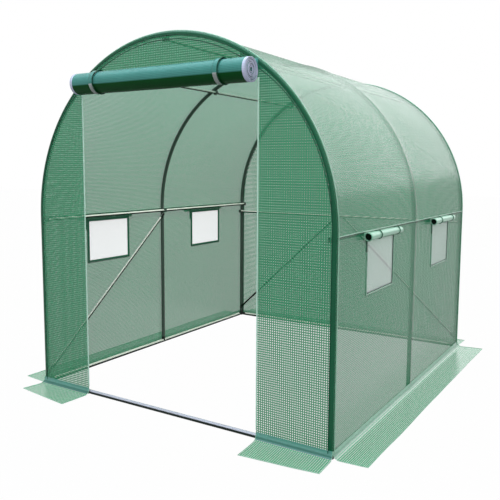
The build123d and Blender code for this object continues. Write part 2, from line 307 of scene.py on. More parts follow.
def creased_woven_polyethylene(name, pitch, colours, fold, foot, reach):
    """The woven film of a skirt: along its fold it is stretched and worn, so it is denser and paler there
    and fades into the open weave. reach is how far down the cloth the fold's two tones go."""
    material, tree, output = new_material(name)
    cover, height = tape_cover(tree, pitch)
    cloth = add_node(tree, "ShaderNodeUVMap", uv_map="cloth")
    axes = add_node(tree, "ShaderNodeSeparateXYZ", {"Vector": cloth.outputs["UV"]})
    folded = add_node(tree, "ShaderNodeMapRange", {
        "Value": axes.outputs["Y"], "From Min": reach[1], "From Max": reach[2], "To Min": 1.0, "To Max": 0.0,
    })
    lower = add_node(tree, "ShaderNodeMapRange", {
        "Value": axes.outputs["Y"], "From Min": reach[0] - 0.003, "From Max": reach[0] + 0.003,
    })
    # Painted highlight along the fold; on the front skirts its lower half is painted shade.
    painted_light = blended(tree, lower.outputs[0], fold, foot)
    tone = mottle(tree, 0.35, 0.94, 1.06)
    woven = blended(tree, cover, colours.film_cell, colours.film_front)
    front = tinted(tree, blended(tree, folded.outputs[0], woven, painted_light), tone)
    bump = add_node(tree, "ShaderNodeBump", {"Height": height, "Strength": 0.14, "Distance": 0.0004})
    face = add_node(tree, "ShaderNodeBsdfPrincipled", {
        "Base Color": front, "Roughness": 0.27, "IOR": 1.5, "Coat Weight": 0.7, "Coat Roughness": 0.22,
        "Normal": bump.outputs[0],
    })
    through = add_node(tree, "ShaderNodeBsdfTranslucent", {"Color": front})
    body = add_node(tree, "ShaderNodeMixShader", {0: 0.35, 1: face.outputs[0], 2: through.outputs[0]})
    clear = add_node(tree, "ShaderNodeBsdfTransparent")
    dense = add_node(tree, "ShaderNodeMath", {0: cover, 1: folded.outputs[0]}, operation="MAXIMUM")
    solid = add_node(tree, "ShaderNodeMapRange", {"Value": dense.outputs[0], "To Min": 0.27, "To Max": 0.97})
    film = add_node(
        tree, "ShaderNodeMixShader", {0: solid.outputs[0], 1: clear.outputs[0], 2: body.outputs[0]}
    )
    tree.links.new(film.outputs[0], output.inputs["Surface"])
    return material


def over_and_under(tree, above, below, turn):
    """Two finishes of one surface: one where it looks up, and one where it looks down. turn is the height
    of the surface's normal at which they meet."""
    facing = add_node(tree, "ShaderNodeNewGeometry")
    axes = add_node(tree, "ShaderNodeSeparateXYZ", {"Vector": facing.outputs["Normal"]})
    upward = add_node(tree, "ShaderNodeMapRange", {
        "Value": axes.outputs["Z"], "From Min": turn - 0.06, "From Max": turn + 0.06,
    })
    return add_node(tree, "ShaderNodeMixShader", {0: upward.outputs[0], 1: below.outputs[0], 2: above.outputs[0]})


def folded_woven_polyethylene(name, tint, glow_share, gloss=0.5):
    """The same film in several layers: denser, darker and no longer see-through, with a satin face."""
    material, tree, output = new_material(name)
    cover, height = tape_cover(tree, 0.0118)
    tone = mottle(tree, 0.2, 0.92, 1.08)
    shade = add_node(tree, "ShaderNodeMapRange", {"Value": cover, "To Min": 1.12, "To Max": 0.96})
    both = add_node(tree, "ShaderNodeMath", {0: tone, 1: shade.outputs[0]}, operation="MULTIPLY")
    front = tinted(tree, tint, both.outputs[0])
    bump = add_node(tree, "ShaderNodeBump", {"Height": height, "Strength": 0.4, "Distance": 0.0005})
    face = add_node(tree, "ShaderNodeBsdfPrincipled", {
        "Base Color": front, "Roughness": 0.22, "IOR": 1.5, "Specular IOR Level": gloss,
        "Normal": bump.outputs[0],
    })
    through = add_node(tree, "ShaderNodeBsdfTranslucent", {"Color": front})
    body = add_node(tree, "ShaderNodeMixShader", {0: glow_share, 1: face.outputs[0], 2: through.outputs[0]})
    tree.links.new(body.outputs[0], output.inputs["Surface"])
    return material


def hemmed_door_film(name, colours, hem_width, half_length):
    """The rolled door's film: worn bright on top and deep green below, with a pale woven hem along its two
    side edges, which shows on the roll's outer turn."""
    material, tree, output = new_material(name)
    cover, height = tape_cover(tree, 0.0075)
    cloth = add_node(tree, "ShaderNodeUVMap", uv_map="cloth")
    axes = add_node(tree, "ShaderNodeSeparateXYZ", {"Vector": cloth.outputs["UV"]})
    out = add_node(tree, "ShaderNodeMath", {0: axes.outputs["X"]}, operation="ABSOLUTE")
    start = half_length - hem_width
    rim = add_node(tree, "ShaderNodeMapRange", {
        "Value": out.outputs[0], "From Min": start, "From Max": start + 0.0008,
    })
    inner_turns = add_node(tree, "ShaderNodeMapRange", {
        "Value": axes.outputs["Y"], "From Min": 0.42, "From Max": 0.44, "To Min": 0.0, "To Max": hem_width - 0.002,
    })
    outmost = add_node(tree, "ShaderNodeMath", {0: out.outputs[0], 1: inner_turns.outputs[0]}, operation="SUBTRACT")
    tree.links.new(outmost.outputs[0], rim.inputs["Value"])
    rolled = add_node(tree, "ShaderNodeMapRange", {"Value": axes.outputs["Y"], "From Min": 0.055, "From Max": 0.06})
    hem = add_node(tree, "ShaderNodeMath", {0: rim.outputs[0], 1: rolled.outputs[0]}, operation="MULTIPLY")
    weave = add_node(tree, "ShaderNodeMapRange", {"Value": cover, "To Min": 0.84, "To Max": 1.1})
    shade = add_node(
        tree, "ShaderNodeMath", {0: mottle(tree, 0.12, 0.9, 1.1), 1: weave.outputs[0]}, operation="MULTIPLY"
    )
    tone = shade.outputs[0]
    bump = add_node(tree, "ShaderNodeBump", {"Height": height, "Strength": 0.7, "Distance": 0.0005})
    faces = []
    # Painted highlight on the upper copy, bright and glossy, and painted shade on the lower copy, dark and dull.
    for tint, gloss in ((colours.roll, 0.3), (colours.roll_painted_shade, 0.05)):
        front = tinted(tree, blended(tree, hem.outputs[0], tint, colours.hem), tone)
        faces.append(add_node(tree, "ShaderNodeBsdfPrincipled", {
            "Base Color": front, "Roughness": 0.26, "IOR": 1.5, "Specular IOR Level": gloss,
            "Specular Tint": linear("#A8EBE6"), "Normal": bump.outputs[0],
        }))
    both = over_and_under(tree, *faces, -0.24)
    tree.links.new(both.outputs[0], output.inputs["Surface"])
    return material


def knitted_net(settings, colours):
    """Fine knitted polyethylene net: half open, so it is pale against light and grey against the dark."""
    material, tree, output = new_material("knitted_net")
    cloth = add_node(tree, "ShaderNodeUVMap", uv_map="cloth")
    axes = add_node(tree, "ShaderNodeSeparateXYZ", {"Vector": cloth.outputs["UV"]})
    # The real mesh is about 1 mm. It is drawn at 6 mm, so that it shows as grain.
    mesh_size = 0.006
    threads = []
    for axis in ("X", "Y"):
        fold = add_node(
            tree, "ShaderNodeMath", {0: axes.outputs[axis], 1: mesh_size / 2}, operation="PINGPONG"
        )
        threads.append(add_node(tree, "ShaderNodeMapRange", {
            "Value": fold.outputs[0], "From Min": mesh_size * 0.16, "From Max": mesh_size * 0.12,
        }))
    cover = add_node(
        tree, "ShaderNodeMath", {0: threads[0].outputs[0], 1: threads[1].outputs[0]}, operation="MAXIMUM"
    )
    bump = add_node(tree, "ShaderNodeBump", {"Height": cover.outputs[0], "Strength": 0.3, "Distance": 0.0005})
    face = add_node(tree, "ShaderNodeBsdfPrincipled", {
        "Base Color": tinted(tree, colours.net, mottle(tree, 0.03, 0.92, 1.06)), "Roughness": 0.6,
        "IOR": 1.5, "Normal": bump.outputs[0],
    })
    through = add_node(tree, "ShaderNodeBsdfTranslucent", {"Color": colours.net})
    body = add_node(tree, "ShaderNodeMixShader", {0: 0.5, 1: face.outputs[0], 2: through.outputs[0]})
    clear = add_node(tree, "ShaderNodeBsdfTransparent")
    solid = add_node(tree, "ShaderNodeMapRange", {"Value": cover.outputs[0], "To Min": 0.26, "To Max": 0.70})
    net = add_node(
        tree, "ShaderNodeMixShader", {0: solid.outputs[0], 1: clear.outputs[0], 2: body.outputs[0]}
    )
    tree.links.new(net.outputs[0], output.inputs["Surface"])
    return material


def powder_coated_steel(name, tint, roughness, under, turn):
    """Steel tube with a baked powder coat: a faint orange peel breaks up the highlight, the tone varies a
    little along the tube, and the underside is dull and grimy."""
    material, tree, output = new_material(name)
    place = add_node(tree, "ShaderNodeTexCoord")
    peel = add_node(tree, "ShaderNodeTexNoise", {
        "Vector": place.outputs["Object"], "Scale": 1 / 0.002, "Detail": 2.0,
    })
    bump = add_node(tree, "ShaderNodeBump", {"Height": peel.outputs[0], "Strength": 0.25, "Distance": 0.0002})
    grime = mottle(tree, 0.09, 0.86, 1.1)
    rough = add_node(tree, "ShaderNodeMapRange", {
        "Value": peel.outputs[0], "To Min": roughness - 0.06, "To Max": roughness + 0.08,
    })
    above = add_node(tree, "ShaderNodeBsdfPrincipled", {
        "Base Color": tinted(tree, tint, grime), "Roughness": rough.outputs[0], "IOR": 1.5,
        "Normal": bump.outputs[0],
    })
    # Painted shade: the underside's colour and weaker gloss stand in for the shade under the tube.
    below = add_node(tree, "ShaderNodeBsdfPrincipled", {
        "Base Color": tinted(tree, under, grime), "Roughness": 0.6, "IOR": 1.5, "Specular IOR Level": 0.15,
        "Normal": bump.outputs[0],
    })
    both = over_and_under(tree, above, below, turn)
    tree.links.new(both.outputs[0], output.inputs["Surface"])
    return material


def moulded_nylon(name, tint, roughness):
    """Injection-moulded nylon: matt, with a fine spark-eroded grain."""
    material, tree, output = new_material(name)
    place = add_node(tree, "ShaderNodeTexCoord")
    grain = add_node(tree, "ShaderNodeTexNoise", {
        "Vector": place.outputs["Object"], "Scale": 1 / 0.0015, "Detail": 4.0,
    })
    bump = add_node(tree, "ShaderNodeBump", {"Height": grain.outputs[0], "Strength": 0.3, "Distance": 0.0003})
    face = add_node(tree, "ShaderNodeBsdfPrincipled", {
        "Base Color": tinted(tree, tint, mottle(tree, 0.02, 0.9, 1.15)), "Roughness": roughness,
        "IOR": 1.53, "Normal": bump.outputs[0],
    })
    tree.links.new(face.outputs[0], output.inputs["Surface"])
    return material


def woven_tape(name, tint, pitch):
    """Narrow woven tape: fine ribs across it, and a soft sheen."""
    material, tree, output = new_material(name)
    place = add_node(tree, "ShaderNodeTexCoord")
    ribs = add_node(tree, "ShaderNodeTexWave", {
        "Vector": place.outputs["Object"], "Scale": 0.3 / pitch, "Distortion": 0.6, "Detail": 1.0,
    }, bands_direction="Z")
    bump = add_node(tree, "ShaderNodeBump", {"Height": ribs.outputs[1], "Strength": 0.5, "Distance": 0.0004})
    tone = add_node(tree, "ShaderNodeMapRange", {"Value": ribs.outputs[1], "To Min": 0.88, "To Max": 1.06})
    face = add_node(tree, "ShaderNodeBsdfPrincipled", {
        "Base Color": tinted(tree, tint, tone.outputs[0]), "Roughness": 0.6, "IOR": 1.5,
        "Sheen Weight": 0.2, "Normal": bump.outputs[0],
    })
    tree.links.new(face.outputs[0], output.inputs["Surface"])
    return material


def the_material(key):
    """The shared material of that name, made when it is first asked for."""
    if key in bpy.data.materials:
        return bpy.data.materials[key]
    sizes, colours = bpy.context.scene.cover_sizes, bpy.context.scene.tunnel_colours
    makers = {
        "laminated_woven_polyethylene": lambda: laminated_woven_polyethylene(key, sizes.tape_pitch, (0.27, 0.97), colours),
        "wall_woven_polyethylene": lambda: laminated_woven_polyethylene(
            key, sizes.wall_pitch, (0.61, 0.885), colours,
        ),
        # The side skirts' pale fold is a painted highlight.
        "side_skirt_film": lambda: creased_woven_polyethylene(
            key, sizes.tape_pitch, colours, colours.crease, colours.crease, (0.02, 0.008, 0.042),
        ),
        # The front skirts' fold: painted highlight above and painted shade below.
        "front_skirt_film": lambda: creased_woven_polyethylene(
            key, sizes.tape_pitch, colours, colours.front_fold_painted_highlight, colours.front_fold_painted_shade, (0.022, 0.040, 0.042),
        ),
        "folded_binding": lambda: folded_woven_polyethylene(key, colours.binding, 0.3),
        "zip_tape_film": lambda: folded_woven_polyethylene(key, colours.edge, 0.5),
        # Painted shade: dark tube inside the rolled flaps.
        "dark_hollow": lambda: folded_woven_polyethylene(key, colours.hollow, 0.0, 0.05),
        "hoop_band_film": lambda: folded_woven_polyethylene(key, colours.hoop_band, 0.1, 0.2),
        "piped_edge_and_highlight": lambda: folded_woven_polyethylene(key, colours.piping_and_painted_highlight, 0.3),
        "sewn_seam_and_painted_shadow": lambda: folded_woven_polyethylene(key, colours.seam, 0.1, 0.2),
        "flap_film": lambda: folded_woven_polyethylene(key, colours.flap, 0.0),
        "hemmed_door_film": lambda: hemmed_door_film(key, colours, sizes.door_hem, span("door_roll").x / 2),
        # The straps get the same painted highlight above and painted shade below.
        "strap_film": lambda: hemmed_door_film(key, colours, 0.0, 1.0),
        "knitted_net": lambda: knitted_net(sizes, colours),
        "hoop_powder_coat": lambda: powder_coated_steel(key, colours.hoop, 0.34, colours.hoop, 0.0),
        "rail_powder_coat": lambda: powder_coated_steel(key, colours.rail, 0.3, colours.rail_painted_shade, 0.1),
        "high_rail_coat": lambda: powder_coated_steel(key, colours.rail, 0.3, colours.rail_painted_shade, -0.4),
        "brace_powder_coat": lambda: powder_coated_steel(key, colours.rail, 0.3, colours.rail_painted_shade, 0.42),
        "base_rail_coat": lambda: powder_coated_steel(key, colours.rail, 0.3, colours.rail_painted_shade, 0.36),
        "sill_coat": lambda: powder_coated_steel(key, colours.sill, 0.3, colours.rail_painted_shade, 0.45),
        "moulded_nylon": lambda: moulded_nylon(key, colours.fitting, 0.5),
        "saddle_nylon": lambda: moulded_nylon(key, colours.saddle, 0.5),
        "nylon_coil": lambda: woven_tape(key, colours.edge, 0.003),
        "hook_and_loop_tape": lambda: woven_tape(key, colours.patch, 0.002),
    }
    return makers[key]()


# Meshes

def link(name, mesh, material):
    """An object for a mesh, with its material."""
    piece = bpy.data.objects.new(name, mesh)
    bpy.context.scene.collection.objects.link(piece)
    mesh.materials.append(the_material(material))
    return piece


def film_piece(name, across, along, place, material="laminated_woven_polyethylene", keep=None):
    """A sheet on a grid of stations. place gives a point and the cloth's own metres for two stations."""
    grid = bmesh.new()
    cloth = grid.loops.layers.uv.new("cloth")
    spots = [[place(a, b) for a in across] for b in along]
    verts = [[grid.verts.new(point) for point, _ in row] for row in spots]
    for row in range(len(along) - 1):
        for column in range(len(across) - 1):
            a = (across[column] + across[column + 1]) / 2
            b = (along[row] + along[row + 1]) / 2
            if keep and not keep(a, b):
                continue
            corners = ((row, column), (row, column + 1), (row + 1, column + 1), (row + 1, column))
            face = grid.faces.new([verts[r][c] for r, c in corners])
            face.smooth = True
            for loop, (r, c) in zip(face.loops, corners):
                loop[cloth].uv = spots[r][c][1]
    bmesh.ops.delete(grid, geom=[v for v in grid.verts if not v.link_faces], context="VERTS")
    mesh = bpy.data.meshes.new(name)
    grid.to_mesh(mesh)
    grid.free()
    return link(name, mesh, material)


def swept_tube(name, paths, radius, material, wall=0.0, sides=24, flatten=1.0):
    """Round tubes along paths, open at their ends if they have a wall and closed if they are solid."""
    tube = bmesh.new()
    cloth = tube.loops.layers.uv.new("cloth")
    turns = [2 * math.pi * side / sides for side in range(sides)]
    for path in paths:
        points = [Vector(point) for point in path]
        across = (points[1] - points[0]).normalized().orthogonal().normalized()
        rings, bores = [], []
        for place, point in enumerate(points):
            ahead = points[min(place + 1, len(points) - 1)] - points[max(place - 1, 0)]
            ahead.normalize()
            across = (across - ahead * across.dot(ahead)).normalized()
            beside = ahead.cross(across)
            for size, made in ((radius, rings), (radius - wall, bores)):
                made.append([
                    tube.verts.new(point + across * (size * math.cos(t)) + beside * (size * math.sin(t) * flatten))
                    for t in turns
                ])
        skins = [(rings, 1)] + ([(bores, -1)] if wall else [])
        for skin, way in skins:
            for one, other in zip(skin, skin[1:]):
                for side in range(sides):
                    after = (side + 1) % sides
                    loop = [one[side], one[after], other[after], other[side]]
                    tube.faces.new(loop[::way]).smooth = True
        for ring, bore, way in ((rings[0], bores[0], -1), (rings[-1], bores[-1], 1)):
            if wall:
                for side in range(sides):
                    after = (side + 1) % sides
                    tube.faces.new([ring[side], ring[after], bore[after], bore[side]][::way])
            else:
                tube.faces.new(ring[::way])
    bmesh.ops.delete(tube, geom=[v for v in tube.verts if not v.link_faces], context="VERTS")
    for edge in tube.edges:
        edge.smooth = len(edge.link_faces) != 2 or edge.calc_face_angle(0) < math.radians(40)
    for face in tube.faces:
        for corner in face.loops:
            corner[cloth].uv = (corner.vert.co.x + corner.vert.co.y, corner.vert.co.z)
    mesh = bpy.data.meshes.new(name)
    tube.to_mesh(mesh)
    tube.free()
    return link(name, mesh, material)


def box_piece(name, boxes, material, round_edge=0.0):
    """Small blocks, each given by its centre, its size and its three directions, with rounded edges."""
    blocks = bmesh.new()
    cloth = blocks.loops.layers.uv.new("cloth")
    for centre, size, axes in boxes:
        corners = []
        for x in (-0.5, 0.5):
            for y in (-0.5, 0.5):
                for z in (-0.5, 0.5):
                    offset = axes[0] * (x * size[0]) + axes[1] * (y * size[1]) + axes[2] * (z * size[2])
                    corners.append(blocks.verts.new(Vector(centre) + offset))
        for loop in ((0, 1, 3, 2), (4, 6, 7, 5), (0, 4, 5, 1), (2, 3, 7, 6), (0, 2, 6, 4), (1, 5, 7, 3)):
            blocks.faces.new([corners[corner] for corner in loop])
    if round_edge:
        bmesh.ops.bevel(
            blocks, geom=blocks.edges[:], offset=round_edge, segments=2, affect="EDGES", profile=0.6
        )
    bmesh.ops.recalc_face_normals(blocks, faces=blocks.faces[:])
    for face in blocks.faces:
        for corner in face.loops:
            corner[cloth].uv = (corner.vert.co.x + corner.vert.co.y, corner.vert.co.z)
    mesh = bpy.data.meshes.new(name)
    blocks.to_mesh(mesh)
    blocks.free()
    return link(name, mesh, material)


def thicken(piece, thickness):
    """Gives a sheet its thickness, to both sides."""
    skin = piece.modifiers.new("thickness", "SOLIDIFY")
    skin.thickness = thickness
    skin.offset = 0
    return piece


def hand_over(piece, slot, *nodes):
    """Puts a finished piece on the frame, in place of the nodes that it stands for."""
    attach(piece, "root")
    if nodes:
        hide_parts(*nodes)
    return piece


def spread(low, high, count):
    """Evenly spaced stations, with both ends."""
    return [low + (high - low) * step / count for step in range(count + 1)]


def merged(places, fixed=(), gap=0.003):
    """Sorted stations, none closer than gap, with the fixed ones kept."""
    kept = []
    for place in sorted(set(places) | set(fixed)):
        if kept and place - kept[-1] < gap:
            if place in fixed:
                kept[-1] = place
            continue
        kept.append(place)
    return kept


# Form of the cover

def film_out(y):
    """Distance of the film from the hoops' outside, which is less where it sinks between two hoops."""
    sizes = bpy.context.scene.cover_sizes
    contact = 0.004
    held = 1.0
    for station in HOOP_STATIONS:
        distance = math.hypot(y - station, contact) - contact
        held *= 1 - math.exp(-distance / sizes.sag_fall)
    return sizes.clearance - sizes.sag * held


def film_ripple(a, b, seed):
    """Soft ripples, which die out at the hoops. They run longer along the second direction."""
    sizes = bpy.context.scene.cover_sizes
    wave = noise.noise(Vector((a / 0.30, b / 0.9, seed))) + 0.25 * noise.noise(Vector((a / 0.12, b / 0.4, seed)))
    return sizes.ripple * wave


def slack(y):
    """Share of a bay's looseness at a station along the tunnel: none at the hoops and one between them."""
    nearest = min(abs(y - station) for station in HOOP_STATIONS)
    return min(1.0, nearest / 0.12)


COVER_END = HALF_LENGTH + 0.0008
HOOP_BEND = HALF_WIDTH - HOOP_TUBE / 2
END_STATION = HOOP_STATIONS[2]


def along_tunnel(fixed=()):
    """Stations along the tunnel, close together beside the hoops, where the film bends."""
    offsets = (0.0, 0.003, 0.006, 0.010, 0.015, 0.022, 0.032, 0.046, 0.065, 0.09)
    places = [station + way * offset for station in HOOP_STATIONS for offset in offsets for way in (-1, 1)]
    places += spread(-END_STATION, END_STATION, 56)
    return merged([place for place in places if abs(place) < END_STATION], (-END_STATION, END_STATION, *fixed))


def wall_x(side, y, z):
    """Place of a side wall's film across the tunnel."""
    loose = slack(y) * min(1.0, z / 0.1)
    return SIDES[side] * (HALF_WIDTH + film_out(y) + loose * film_ripple(y, z, 3.0 * SIDES[side]))


def end_height(x):
    """Height of an end wall at a place across it, up to the middle line of its hoop."""
    return SPRING + math.sqrt(max(0.0, HOOP_BEND ** 2 - x ** 2))


def end_wall_y(end, x, z):
    """Place of an end wall's film along the tunnel."""
    edge = min(1.0, max(0.0, HOOP_BEND - abs(x)) / 0.1)
    return end * (COVER_END + 0.6 * edge * abs(film_ripple(x, z, 11.0 * end)))


def window_box(side, place):
    """Edges of a window: low and high Y, and low and high Z, from the net behind it."""
    low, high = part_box(f"{side}_{place}_window_net")
    lap = 0.012
    return low.y + lap, high.y - lap, low.z + lap, high.z - lap


# Steel frame

def build_hoops():
    """Three hoops, each bent from one round tube."""
    radius = HALF_WIDTH - HOOP_TUBE / 2
    for hoop, y in zip(HOOPS, HOOP_STATIONS):
        path = [(-radius, y, HOOP_FOOT), (-radius, y, HOOP_FOOT + 0.1), (-radius, y, SPRING - 0.02)]
        for angle in spread(math.pi, 0, 72):
            path.append((radius * math.cos(angle), y, SPRING + radius * math.sin(angle)))
        path += [(radius, y, SPRING - 0.02), (radius, y, HOOP_FOOT + 0.1), (radius, y, HOOP_FOOT)]
        piece = swept_tube(f"{hoop}_tube", [path], HOOP_TUBE / 2, "hoop_powder_coat", wall=0.0012, sides=28)
        hand_over(piece, "hoop_steel", hoop)


def straight_paths(node, breaks=()):
    """Straight runs along a node's longest direction, parted at the breaks."""
    low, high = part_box(node)
    size = high - low
    axis = max(range(3), key=lambda place: size[place])
    centre = (low + high) / 2
    ends = [low[axis], *breaks, high[axis]]
    paths = []
    for start, end in zip(ends[::2], ends[1::2]):
        run = []
        for place in (start, end):
            point = centre.copy()
            point[axis] = place
            run.append(point)
        paths.append(run)
    return paths


def build_rails():
    """Base rails round the ground, and the rails that tie the hoops together."""
    tee_low, tee_high = -0.045, 0.045
    for side in SIDES:
        paths = straight_paths(f"{side}_base_rail", (tee_low, tee_high))
        piece = swept_tube(f"{side}_base_rail_tube", paths, HOOP_TUBE / 2, "base_rail_coat", wall=0.0012)
        hand_over(piece, "rail_steel", f"{side}_base_rail")
    for end in PLACES:
        paths = straight_paths(f"{end}_base_rail")
        coat = "sill_coat" if end == "front" else "base_rail_coat"
        piece = swept_tube(f"{end}_base_rail_tube", paths, HOOP_TUBE / 2, coat, wall=0.0012)
        hand_over(piece, "rail_steel", f"{end}_base_rail")
    lengthwise = [f"{side}_{height}_rail" for side in SIDES for height in ("waist", "shoulder")]
    for node in (*lengthwise, "ridge_rail", "rear_waist_rail"):
        piece = swept_tube(
            f"{node}_tube", straight_paths(node), RAIL_TUBE / 2,
            "rail_powder_coat" if "waist" in node else "high_rail_coat", wall=0.0012,
        )
        hand_over(piece, "rail_steel", node)


def build_fittings():
    """Coats the braces, the foot fittings and the clamps, and adds the clamps' screws."""
    coats = {
        "left_brace": "brace_powder_coat", "rear_left_brace": "brace_powder_coat",
        "rear_right_brace": "brace_powder_coat", "corner_fittings": "moulded_nylon",
        "tee_fittings": "base_rail_coat", "cross_clamps": "saddle_nylon",
    }
    for node, coat in coats.items():
        frame["nodes"][node].data.materials.clear()
        frame["nodes"][node].data.materials.append(the_material(coat))


# Film of the cover

def build_roof():
    """Roof film, drawn over the arches of the hoops."""
    half_arc = math.pi / 2 * HALF_WIDTH

    def place(arc, y):
        angle = arc / HALF_WIDTH
        out = HALF_WIDTH + film_out(y) + 0.2 * slack(y) * film_ripple(y, arc, 7.0) * math.cos(angle) ** 0.5
        point = (out * math.sin(angle), y, SPRING + out * math.cos(angle))
        return point, (arc, y)

    arcs = [arc * 0.99999 for arc in spread(-half_arc, half_arc, 112)]
    piece = film_piece("roof_film", arcs, along_tunnel(), place, "wall_woven_polyethylene")
    hand_over(piece, "cover_film", "roof_cover")


def build_walls():
    """Side walls of film with two windows each, and the seam that joins them to the roof."""
    for side in SIDES:
        windows = [window_box(side, place) for place in PLACES]
        edges = [edge for window in windows for edge in window[:2]]
        heights = merged(spread(0.0015, SPRING, 30), [0.0015, SPRING, windows[0][2], windows[0][3]])

        def place(y, z, side=side):
            return (wall_x(side, y, z), y, z), (y, z)

        def outside_windows(y, z, windows=windows):
            return not any(low < y < high and bottom < z < top for low, high, bottom, top in windows)

        piece = film_piece(
            f"{side}_wall_film", along_tunnel(edges), heights, place, "wall_woven_polyethylene", outside_windows,
        )
        hand_over(piece, "cover_film", f"{side}_wall_cover")
        for name, height, material in (
            ("welt", SPRING - 0.008, "piped_edge_and_highlight"), ("seam", SPRING - 0.0135, "sewn_seam_and_painted_shadow"),
        ):
            line = [(wall_x(side, y, height) + SIDES[side] * 0.0006, y, height) for y in along_tunnel()]
            hand_over(swept_tube(f"{side}_roof_{name}", [line], 0.0026, material, sides=8), "cover_film")


def end_columns(low, high, fixed=()):
    """Stations across an end wall, closer together towards its round edge."""
    start, end = math.asin(low / HOOP_BEND), math.asin(high / HOOP_BEND)
    count = max(8, round((end - start) / 0.045))
    return merged([HOOP_BEND * math.sin(angle) for angle in spread(start, end, count)], fixed)


def end_wall(name, end, low, high, bottom):
    """Film of an end wall between two places across the tunnel."""

    def place(x, share):
        z = bottom + share * (end_height(x) - bottom)
        return (x, end_wall_y(end, x, z), z), (x, z)

    rows = max(10, round((end_height((low + high) / 2) - bottom) / 0.04))
    return film_piece(name, end_columns(low, high), spread(0, 1, rows), place)


def build_end_walls():
    """Closed rear wall, and the front wall on both sides of the doorway and over it."""
    edge = HOOP_BEND * 0.99999
    ground = 0.002
    rear = hand_over(end_wall("rear_wall_film", 1, -edge, edge, ground), "cover_film", "rear_panel")
    panels = {
        "front_left": (-edge, DOOR_EDGES["left"], ground),
        "front_right": (DOOR_EDGES["right"], edge, ground),
        "front_gable": (DOOR_EDGES["left"], DOOR_EDGES["right"], DOOR_TOP),
    }
    for name, (low, high, bottom) in panels.items():
        piece = end_wall(f"{name}_film", -1, low, high, bottom)
        hand_over(piece, "cover_film", f"{name}_panel")
        top = max(end_height(low), end_height(high), end_height(0) if low < 0 < high else 0)
        steps = spread(low, high, 200)
        strip = (high - low) / 200
        area = sum((end_height(x + strip / 2) - bottom) * strip for x in steps[:-1])


def sleeve_reach(angle):
    """Width of a sleeve on the end wall, wider towards the crown. The angle is counted from the side."""
    sizes = bpy.context.scene.cover_sizes
    rise = math.degrees(math.pi / 2 - abs(angle - math.pi / 2))
    share = min(1.0, max(0.0, (rise - 35) / 30))
    share = share * share * (3 - 2 * share)
    return sizes.sleeve_reach + (sizes.crown_reach - sizes.sleeve_reach) * share


def build_sleeves():
    """Sleeves of film round the two end hoops, which join the roof and walls to the end walls."""
    bend = COVER_END - END_STATION + 0.0005
    quarter = math.pi / 2 * bend
    behind = 0.004
    leg = SPRING - 0.02
    arch = math.pi * HALF_WIDTH
    runs = [*spread(0, leg, 24)[:-1], *spread(leg, leg + arch, 120), *spread(leg + arch, 2 * leg + arch, 24)[1:]]
    crossing = [-behind, *spread(0, quarter, 10), quarter + 0.5, quarter + 1.0]
    for name, end in (("front", -1), ("rear", 1)):

        def flat_share(run):
            """Share of the sleeve's flat width that its film takes: all of it at the legs, less at the arch."""
            rise = min(1.0, max(0.0, min(run - leg, leg + arch - run) / 0.3))
            return 0.95 - 0.78 * rise

        def place(run, across, end=end, bend=bend):
            angle = min(math.pi, max(0.0, math.pi * (run - leg) / arch))
            if across < 0:
                out, forward = bend, across
            elif across <= quarter:
                out, forward = bend * math.cos(across / bend), bend * math.sin(across / bend)
            else:
                out, forward = -(across - quarter) * (sleeve_reach(angle) - (HALF_WIDTH - HOOP_BEND)), bend
            reach, y = HOOP_BEND + out, end * (END_STATION + forward)
            if run < leg:
                return (-reach, y, SPRING - leg + run), (run, across)
            if run > leg + arch:
                return (reach, y, SPRING - (run - leg - arch)), (run, across)
            return (-reach * math.cos(angle), y, SPRING + reach * math.sin(angle)), (run, across)

        def sleeve(run, across, place=place, quarter=quarter):
            return place(run, min(across, quarter) + max(0.0, across - quarter) * flat_share(run))

        piece = film_piece(f"{name}_hoop_sleeve", runs, crossing, sleeve)
        hand_over(piece, "cover_film")
        sizes = bpy.context.scene.cover_sizes
        inner = [place(run, quarter + 0.95)[0] for run in runs]
        inner = [(x, y + end * 0.0006, z) for x, y, z in inner]
        seam = swept_tube(f"{name}_sleeve_seam", [inner], 0.0019, "sewn_seam_and_painted_shadow", sides=8)
        hand_over(seam, "cover_film")

        def on_tube(run, across, place=place, bend=bend, quarter=quarter):
            flat = max(0.0, across - quarter) * flat_share(run)
            return place(run, min(across, quarter) + flat, bend=bend + 0.0006)

        # A dark extra sheet over the hoop: painted shade of the tube seen through the sleeve.
        band = film_piece(
            f"{name}_hoop_band", runs, [*spread(0.5 * quarter, quarter, 6), quarter + 0.5, quarter + 1.0], on_tube,
            "hoop_band_film",
        )
        hand_over(band, "cover_film")
        trim = [place(run, quarter + flat_share(run) + 0.06)[0] for run in runs]
        trim = [(x, y + end * 0.0006, z) for x, y, z in trim]
        hand_over(swept_tube(f"{name}_sleeve_trim", [trim], 0.0018, "sewn_seam_and_painted_shadow", sides=8), "cover_film")
        # Painted highlight: a pale tube along the sleeve's outer bend, where the film catches the light.
        edge = [place(run, 0.0)[0] for run in runs]
        edge = [(x * 1.0016, y, SPRING + (z - SPRING) * 1.0016 if z > SPRING else z) for x, y, z in edge]
        piping_and_painted_highlight = swept_tube(f"{name}_sleeve_painted_highlight", [edge], 0.0028, "piped_edge_and_highlight", sides=8)
        hand_over(piping_and_painted_highlight, "cover_film")


# Windows

